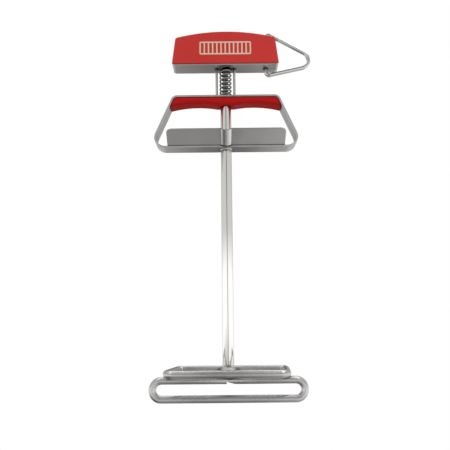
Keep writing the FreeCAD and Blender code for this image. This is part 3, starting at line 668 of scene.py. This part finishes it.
def make_spring():
    """The coil, with its end turns laid close and ground flat."""
    low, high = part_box("spring_washer")[1].z / MM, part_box("spring_seat")[0].z / MM
    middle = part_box("spring_washer")[1].x / MM - SPRING_INSET
    steps = SPRING_TURNS * SPRING_STEPS
    section = round_section(SPRING_WIRE, SPRING_SIDES)
    height = high - low - 2 * SPRING_WIRE
    vertices, faces = [], []
    for i in range(steps + 1):
        turn = i / SPRING_STEPS
        angle = 2 * math.pi * turn
        out = Vector((math.cos(angle), math.sin(angle), 0))
        centre = out * middle + Vector((0, 0, low + SPRING_WIRE + height * climb(turn)))
        for u, v in section:
            point = centre + out * u + Vector((0, 0, v))
            point.z = min(max(point.z, low), high)
            vertices.append(point)
        if i:
            faces += between_rings((i - 1) * SPRING_SIDES, i * SPRING_SIDES, SPRING_SIDES)
    faces.append(tuple(range(SPRING_SIDES)))
    faces.append(tuple(range(len(vertices) - SPRING_SIDES, len(vertices))))
    coil = new_piece("spring_coil", vertices, faces, "spring")
    stand_in(coil, "handle", "spring_steel", "compression_spring")
    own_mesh(coil)


def climb(turn):
    """How far up the coil a turn is, from 0 to 1: the end turns climb by a wire's width only."""
    end = 2 * SPRING_WIRE / SPRING_LENGTH
    if turn <= 1:
        return turn * end
    if turn >= SPRING_TURNS - 1:
        return 1 - (SPRING_TURNS - turn) * end
    return end + (1 - 2 * end) * (turn - 1) / (SPRING_TURNS - 2)


# ---- the pull frame ----

STRIP_THICKNESS = 2.0
STRIP_EDGE = 0.35
FRAME_FOOT_HALF = 78.8
FRAME_FOOT_BEND = 11.0
FRAME_TOP_HALF = 54.6
FRAME_TOP_BEND = 6.0
TUBE_GAP = 0.1
TUBE_BORE = 4.5
ROD_HOLE = 3.3
GRIP_TOP_HALF = 52.7
GRIP_END_HALF = 57.2
GRIP_MIDDLE = (8.5, -43.2, 0)
GRIP_SCALLOP = (31.0, -38.9, 110.0)
GRIP_EDGE = 1.5
GRIP_UNDER_EDGE = 3.5
GRIP_END_EDGE = 0.8
GRIP_STATIONS = 72
GUARD_THICKNESS = 1.2
GUARD_FLOOR_HALF = 8.75
GUARD_FOLD = 2.8
GUARD_RISE = 12.1
GUARD_CORNER = 4.5
CHANNEL_RADIUS = 6.5
CHANNEL_RISE = 3.0
CHANNEL_START = 1.0


def make_pull_frame():
    """The closed loop of flat steel."""
    low, high = box_mm("pull_frame")
    right = [(FRAME_FOOT_HALF, low.z, FRAME_FOOT_BEND), (FRAME_TOP_HALF, high.z, FRAME_TOP_BEND)]
    section = square_section(low.y, high.y, 0.0, STRIP_THICKNESS, STRIP_EDGE)
    loop = sweep("pull_frame_steel", rounded(mirrored(right)), section, "strip")
    cut_away(
        loop,
        drill(tube_radius() + TUBE_GAP, low.z - PAST, low.z + STRIP_THICKNESS + PAST),
        drill(ROD_HOLE, high.z - STRIP_THICKNESS - PAST, high.z + PAST),
    )
    stand_in(weigh_normals(loop), "pull_frame", "flat_steel", "pull_frame")


def make_finger_grip():
    """The red grip: rounded more below, where the fingers pull, with a scallop each side of the tube."""
    low, high = box_mm("finger_grip")
    right = rounded([GRIP_MIDDLE, GRIP_SCALLOP, (GRIP_END_HALF, low.z, 0)])

    def half_at(z):
        return GRIP_TOP_HALF + (GRIP_END_HALF - GRIP_TOP_HALF) * (high.z - z) / (high.z - low.z)

    def under(x):
        x = min(max(abs(x), right[0].x), right[-1].x)
        for a, b in zip(right, right[1:]):
            if x <= b.x:
                return a.y + (b.y - a.y) * (x - a.x) / (b.x - a.x)
        return right[-1].y

    ends = [(1 - back / GRIP_END_HALF, shrink) for back, shrink in rounding(GRIP_END_EDGE)]
    shares = [i / GRIP_STATIONS for i in range(GRIP_STATIONS)]
    half_side = [(share * ends[-1][0], 0.0) for share in shares] + ends[::-1]
    rows = [(-share, shrink) for share, shrink in reversed(half_side[1:])] + half_side
    vertices, faces, ring = [], [], 0
    for row, (share, shrink) in enumerate(rows):
        bottom = low.z
        for _ in range(4):
            bottom = under(share * half_at(bottom))
        section = grip_section(high.y, high.z, bottom, shrink)
        ring = len(section)
        vertices += [Vector((share * half_at(z), y, z)) for y, z in section]
        if row:
            faces += between_rings((row - 1) * ring, row * ring, ring)
    faces.append(tuple(range(ring)))
    faces.append(tuple(range(len(vertices) - ring, len(vertices))))
    grip = new_piece("red_finger_grip", vertices, faces, "grip_red")
    cut_away(grip, drill(tube_radius() + TUBE_GAP, low.z - PAST, high.z + PAST))
    stand_in(weigh_normals(grip), "pull_frame", "grip_red", "finger_grip")


def grip_section(half_deep, top, bottom, shrink):
    """The grip's section from front to back at one place, as (y, z) points."""
    deep, top, bottom = half_deep - shrink, top - shrink, bottom + shrink
    points = []
    for out, level, up, edge in (
        (-1, bottom, 1, GRIP_UNDER_EDGE),
        (1, bottom, 1, GRIP_UNDER_EDGE),
        (1, top, -1, GRIP_EDGE),
        (-1, top, -1, GRIP_EDGE),
    ):
        steps = rounding(edge, 5) if out * up > 0 else rounding(edge, 5)[::-1]
        points += [(out * (deep - back), level + up * rise) for rise, back in steps]
    return points


def make_heat_guard():
    """The sheet bent up in front and behind, with rounded wing corners."""
    high = box_mm("heat_guard")[1]
    base = box_mm("pull_frame")[0].z + STRIP_THICKNESS
    rim = base + GUARD_RISE
    front, back = (-GUARD_FLOOR_HALF, base, GUARD_FOLD), (GUARD_FLOOR_HALF, base, GUARD_FOLD)
    wing = rounded([(-high.y, rim, 0), front, back, (high.y, rim, 0)], closed=False)
    fine = []
    for a, b in zip(wing, wing[1:]):
        pieces = max(1, math.ceil((b - a).length / 0.5))
        fine += [a.lerp(b, i / pieces) for i in range(pieces)]
    fine.append(wing[-1])
    ways = lefts(fine, closed=False)
    run = [0.0]
    for a, b in zip(fine, fine[1:]):
        run.append(run[-1] + (b - a).length)
    halves = [high.x - corner_loss(min(at, run[-1] - at), GUARD_CORNER) for at in run]
    vertices, faces = [], []
    for side in (-1, 1):
        for rise in (0.0, GUARD_THICKNESS):
            for point, way, half in zip(fine, ways, halves):
                vertices.append(in_space(SIDE, point + way * rise, side * half))
    n = len(fine)
    for first, second in ((0, 2 * n), (n, 3 * n), (0, n), (2 * n, 3 * n)):
        faces += between_rings(first, second, n, closed=False)
    faces.append((0, n, 3 * n, 2 * n))
    faces.append((n - 1, 2 * n - 1, 4 * n - 1, 3 * n - 1))
    guard = new_piece("folded_heat_guard", vertices, faces, "sheet")
    cut_away(guard, drill(tube_radius() + TUBE_GAP, base - PAST, base + 4 * PAST))
    press_channel(guard, Vector(front[:2]), Vector((-high.y, rim)))
    soften(guard, 0.2)
    stand_in(weigh_normals(guard), "pull_frame", "sheet_steel", "heat_guard")


def press_channel(guard, fold, rim):
    """A half-round channel up the front wing, before the tube."""
    up = (rim - fold).normalized()
    away = Vector((up.y, -up.x)) * (CHANNEL_RADIUS - CHANNEL_RISE)
    foot, tip = fold + up * CHANNEL_START + away, rim + away
    half = math.acos((CHANNEL_RADIUS - CHANNEL_RISE - GUARD_THICKNESS / 2) / CHANNEL_RADIUS)
    turns = [half * (2 * i / 24 - 1) for i in range(25)]
    arc = [Vector((CHANNEL_RADIUS * math.sin(t), CHANNEL_RADIUS * math.cos(t))) for t in turns]
    hollow = round_section(CHANNEL_RADIUS - GUARD_THICKNESS, 48)
    past = tip + up * (CHANNEL_RADIUS / 2)
    outside = sweep("channel_outside", [foot, tip], arc, "sheet", SIDE, closed=False)
    inside = sweep("channel_inside", [foot, past], hollow, "sheet", SIDE, closed=False)
    cut_away(guard, outside, operation="UNION")
    cut_away(guard, inside)


def corner_loss(distance, radius):
    """How much a rounded corner takes off a sheet's half length, this far from the sheet's edge."""
    if distance >= radius:
        return 0.0
    return radius - math.sqrt(radius**2 - (radius - distance) ** 2)


def make_guide_rods():
    """The two thin rods beside the spring."""
    for side in ("left", "right"):
        low, high = box_mm(f"guide_rod_{side}")
        name, middle = f"guide_rod_{side}_wire", (low.x + high.x) / 2
        piece = rod(name, high.y, low.z, high.z, "rod", x=middle, edge=0.5, sides=32)
        stand_in(piece, "pull_frame", "wire_steel", f"guide_rod_{side}")


def make_tube():
    """The bright outer tube."""
    low, high = box_mm("outer_tube")
    piece = sleeve("polished_tube", high.x, TUBE_BORE, low.z, high.z, "tube")
    stand_in(piece, "pull_frame", "tube_steel", "outer_tube")


# ---- the jaws ----

BAR = 3.5
BAR_GAP = 0.02
BAR_SIDES = 48
JAW_JOINT = 0.4
LOWER_JOINT = -1.6
BEVEL_RUN = 8.0
BEVEL_RISE = 2.4
UPPER_HALF_WIDE = 16.0
UPPER_BEND = 6.0
UPPER_BACK = (-48.2, 56.6)
UPPER_FRONT = (-60.0, 54.0)
ROD_WELD_INSIDE = 2.9
TUBE_WELD_INSIDE = 5.5


def make_lower_jaw():
    """The upright loop of round bar, with its ends meeting under the rod and the right one bevelled."""
    low, high = box_mm("lower_jaw")
    top, floor, half = high.z - BAR, low.z + BAR, high.x - BAR
    start, under = LOWER_JOINT + JAW_JOINT, top - BAR
    bend = (top - floor) / 2 - 0.001
    corners = [
        (start, top, 0),
        (half, top, bend),
        (half, floor, bend),
        (-half, floor, bend),
        (-half, top, bend),
        (LOWER_JOINT - JAW_JOINT, top, 0),
    ]
    line, section = rounded(corners), round_section(BAR, BAR_SIDES)
    bar = sweep("lower_jaw_bar", line, section, "upright_bar", closed=False, dome=END_DOME)
    bevel = [
        (LOWER_JOINT, under + BEVEL_RISE * (1 + JAW_JOINT / BEVEL_RUN)),
        (LOWER_JOINT, under - BEVEL_RISE),
        (start + 2 * BEVEL_RUN, under - BEVEL_RISE),
    ]
    cut_away(bar, prism(bevel, -2 * BAR, 2 * BAR))
    stand_in(bar, "handle", "bar_steel", "lower_jaw")


def make_upper_jaw():
    """The flat-lying loop of round bar, with a slanted left end."""
    low, high = box_mm("upper_jaw")
    corners = [
        (JAW_JOINT, UPPER_HALF_WIDE, 0),
        (UPPER_BACK[1], UPPER_HALF_WIDE, UPPER_BEND),
        (UPPER_FRONT[1], -UPPER_HALF_WIDE, UPPER_BEND),
        (UPPER_FRONT[0], -UPPER_HALF_WIDE, UPPER_BEND),
        (UPPER_BACK[0], UPPER_HALF_WIDE, UPPER_BEND),
        (-JAW_JOINT, UPPER_HALF_WIDE, 0),
    ]
    line, section, level = rounded(corners), round_section(BAR, BAR_SIDES), (low.z + high.z) / 2
    bar = sweep("upper_jaw_bar", line, section, "level_bar", LEVEL, False, level, END_DOME)
    stand_in(bar, "pull_frame", "bar_steel", "upper_jaw")


def make_jaw_bridge():
    """The cross plate under the tube's foot, coped over both bars."""
    low, high = box_mm("jaw_bridge")
    bar_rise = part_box("upper_jaw")[0].z / MM + BAR
    first = math.asin((low.z - bar_rise) / BAR)
    last = math.asin((high.z - bar_rise) / BAR)
    angles = [first + (last - first) * i / 8 for i in range(9)]
    lines = []
    for y, sign in ((-UPPER_HALF_WIDE, 1), (UPPER_HALF_WIDE, -1)):
        reach = sign * (BAR + BAR_GAP)
        lines.append([(y + reach * math.cos(a), bar_rise + BAR * math.sin(a)) for a in angles])
    outline = [Vector(point) for point in lines[0][::-1] + lines[1]]
    piece = plate("jaw_bridge_plate", outline, low.x, high.x, "plate", plane=SIDE)
    cut_away(piece, drill(ROD_HOLE, low.z - PAST, high.z + PAST))
    stand_in(weigh_normals(piece), "pull_frame", "flat_steel", "jaw_bridge")


def make_weld(node, body, inner, upward=True):
    """A fillet weld round a bar, with the ripples of its run."""
    low, high = box_mm(node)
    size, tall = high.x - inner, high.z - low.z
    foot, tip = (low.z, high.z) if upward else (high.z, low.z)
    way = 1 if upward else -1
    profile = [(inner, foot)]
    for t in quarter_turn(7):
        out, rise = size * (1 - math.sin(t)) ** 1.2, tall * (1 - math.cos(t)) ** 0.85
        profile.append((inner + out, foot + way * rise))
    profile.append((inner, tip))

    def ripple(angle):
        return 0.93 + 0.05 * math.sin(23 * angle + math.sin(3 * angle)) + 0.02 * math.sin(5 * angle + 1)

    bead = turned(f"{node}_bead", profile, "weld", sides=180, closed=True, ripple=ripple)
    stand_in(bead, body, "weld_steel", node)


# ---- CAD nodes that stay ----


def keep_nodes():
    """Give the CAD nodes that keep their own meshes their materials."""
    for node, material in (
        ("cover_badge", "cream"),
        ("cover_screws", "fastener"),
        ("rod_bracket", "plate"),
        ("rod_nut", "fastener"),
        ("grip_screws", "fastener"),
        ("tube_bush_upper", "bush"),
        ("tube_bush_lower", "bush"),
    ):
        dress(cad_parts[node], material)


# ---- the studio ----

# How bright the room is, by the height of the direction looked in: -1 straight down, 1 straight up.
ROOM = [
    (-1.0, 0.55),
    (-0.80, 0.60),
    (-0.52, 1.00),
    (-0.32, 1.15),
    (-0.03, 1.15),
    (0.06, 0.90),
    (0.14, 0.68),
    (0.70, 0.60),
    (0.85, 0.85),
]
# What is left of the brightness in the darker directions, and where along x, y or z each one fades out.
FRONT_SHADE, FRONT_EDGE = 0.10, (0.04, 0.15)
BACK_SHADE, BACK_EDGE = 0.60, (0.50, 0.85)
LEFT_SHADE, LEFT_EDGE, LOW_EDGE = 0.20, (-0.30, -0.15), (-0.60, -0.30)
MIDDLE = Vector((0, 0, -0.15))
FLOOR_HALF = 5.0
CAMERA_PLACE = (-0.002, -0.4438)
CAMERA_RISE = 0.095
CAMERA_TILT = math.radians(99.5)
CAMERA_ROLL = math.radians(-0.55)


def make_light(name, place, wide, tall, brightness):
    """A softbox that faces the middle of the part and is hidden from the camera."""
    light = bpy.data.lights.new(name, "AREA")
    light.shape = "RECTANGLE"
    light.size, light.size_y = wide, tall
    light.energy = math.pi * wide * tall * brightness
    obj = bpy.data.objects.new(name, light)
    bpy.context.scene.collection.objects.link(obj)
    obj.location = place
    obj.rotation_euler = (MIDDLE - Vector(place)).to_track_quat("-Z", "Y").to_euler()
    obj.visible_camera = False


def make_lights():
    """Two lamps over the front, and one behind for the back."""
    make_light("left_lamp", (-0.60, -0.45, 1.10), 0.5, 0.5, 2.0)
    make_light("right_lamp", (0.60, -0.45, 1.10), 0.5, 0.5, 3.0)
    make_light("back_lamp", (0, 0.9, 0.9), 1.0, 0.6, 2.0)


def room_brightness(tree):
    """Grey bands by height, darker in a narrow strip ahead, towards the back, and low on the left."""
    place = tree.nodes.new("ShaderNodeTexCoord")
    parts = tree.nodes.new("ShaderNodeSeparateXYZ")
    tree.links.new(place.outputs["Generated"], parts.inputs[0])

    def stepped(source, edge, first, last):
        step = tree.nodes.new("ShaderNodeMapRange")
        numbers = {"From Min": edge[0], "From Max": edge[1], "To Min": first, "To Max": last}
        for key, number in numbers.items():
            step.inputs[key].default_value = number
        tree.links.new(source, step.inputs["Value"])
        return step.outputs[0]

    bands = tree.nodes.new("ShaderNodeValToRGB")
    stops = bands.color_ramp.elements
    while len(stops) < len(ROOM):
        stops.new(0.5)
    for stop, (at, bright) in zip(stops, ROOM):
        stop.position = (at + 1) / 2
        stop.color = (bright, bright, bright, 1)
    tree.links.new(stepped(parts.outputs["Z"], (-1, 1), 0, 1), bands.inputs[0])
    aside = tree.nodes.new("ShaderNodeMath")
    aside.operation = "ABSOLUTE"
    tree.links.new(parts.outputs["X"], aside.inputs[0])
    brightness = bands.outputs[0]
    ahead = stepped(aside.outputs[0], FRONT_EDGE, FRONT_SHADE, 1)
    behind = stepped(parts.outputs["Y"], BACK_EDGE, 1, BACK_SHADE)
    beside = tree.nodes.new("ShaderNodeMath")
    beside.operation = "MAXIMUM"
    tree.links.new(stepped(parts.outputs["X"], LEFT_EDGE, LEFT_SHADE, 1), beside.inputs[0])
    tree.links.new(stepped(parts.outputs["Z"], LOW_EDGE, LEFT_SHADE, 1), beside.inputs[1])
    for share in (ahead, behind, beside.outputs[0]):
        scaled = tree.nodes.new("ShaderNodeVectorMath")
        scaled.operation = "SCALE"
        tree.links.new(brightness, scaled.inputs[0])
        tree.links.new(share, scaled.inputs["Scale"])
        brightness = scaled.outputs[0]
    return brightness


def make_world():
    """White to the camera, and the room to everything else."""
    world = bpy.data.worlds.new("studio")
    bpy.context.scene.world = world
    world.use_nodes = True
    tree = world.node_tree
    room = tree.nodes["Background"]
    tree.links.new(room_brightness(tree), room.inputs["Color"])
    white = tree.nodes.new("ShaderNodeBackground")
    white.inputs["Color"].default_value = (1, 1, 1, 1)
    mix = tree.nodes.new("ShaderNodeMixShader")
    path = tree.nodes.new("ShaderNodeLightPath")
    tree.links.new(path.outputs["Is Camera Ray"], mix.inputs[0])
    tree.links.new(room.outputs[0], mix.inputs[1])
    tree.links.new(white.outputs[0], mix.inputs[2])
    tree.links.new(mix.outputs[0], tree.nodes["World Output"].inputs["Surface"])


def make_floor(level):
    """A plain white floor that only the camera sees, clear from below so the part still shows."""
    around = ((-1, -1), (1, -1), (1, 1), (-1, 1))
    corners = [(x * FLOOR_HALF, y * FLOOR_HALF, level) for x, y in around]
    mesh = bpy.data.meshes.new("floor")
    mesh.from_pydata(corners, [], [(0, 1, 2, 3)])
    floor = bpy.data.objects.new("floor", mesh)
    bpy.context.scene.collection.objects.link(floor)
    nodes = Nodes("floor_white")
    glow = nodes.add("ShaderNodeEmission", {"Color": (1, 1, 1, 1), "Strength": 1.0}).outputs[0]
    clear = nodes.add("ShaderNodeBsdfTransparent").outputs[0]
    below = nodes.add("ShaderNodeNewGeometry").outputs["Backfacing"]
    seen = nodes.add("ShaderNodeMixShader", {0: below, 1: glow, 2: clear}).outputs[0]
    nodes.tree.links.new(seen, nodes.tree.nodes["Material Output"].inputs["Surface"])
    mesh.materials.append(nodes.material)
    floor.visible_diffuse = False
    floor.visible_glossy = False
    floor.visible_transmission = False
    floor.visible_shadow = False


def make_camera(level):
    """The photograph's viewing angle: low, near, and looking slightly up."""
    camera = bpy.data.cameras.new("camera")
    camera.lens = 36.0
    camera.sensor_width = 36.0
    obj = bpy.data.objects.new("camera", camera)
    bpy.context.scene.collection.objects.link(obj)
    obj.location = (*CAMERA_PLACE, level + CAMERA_RISE)
    tilt, roll = Matrix.Rotation(CAMERA_TILT, 3, "X"), Matrix.Rotation(CAMERA_ROLL, 3, "Z")
    obj.rotation_euler = (tilt @ roll).to_euler()
    bpy.context.scene.camera = obj


make_handle_band()
make_cover("front")
make_cover("back")
make_hanging_ring()
make_rod()
make_washers()
make_spring()
make_pull_frame()
make_finger_grip()
make_heat_guard()
make_guide_rods()
make_tube()
make_lower_jaw()
make_upper_jaw()
make_jaw_bridge()
make_weld("rod_weld", "handle", ROD_WELD_INSIDE)
make_weld("tube_foot_weld", "pull_frame", TUBE_WELD_INSIDE)
make_weld("frame_weld", "pull_frame", TUBE_WELD_INSIDE, upward=False)
keep_nodes()

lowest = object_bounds()[0].z
make_world()
make_floor(lowest)
make_lights()
make_camera(lowest)
bpy.context.scene.view_settings.view_transform = "Standard"
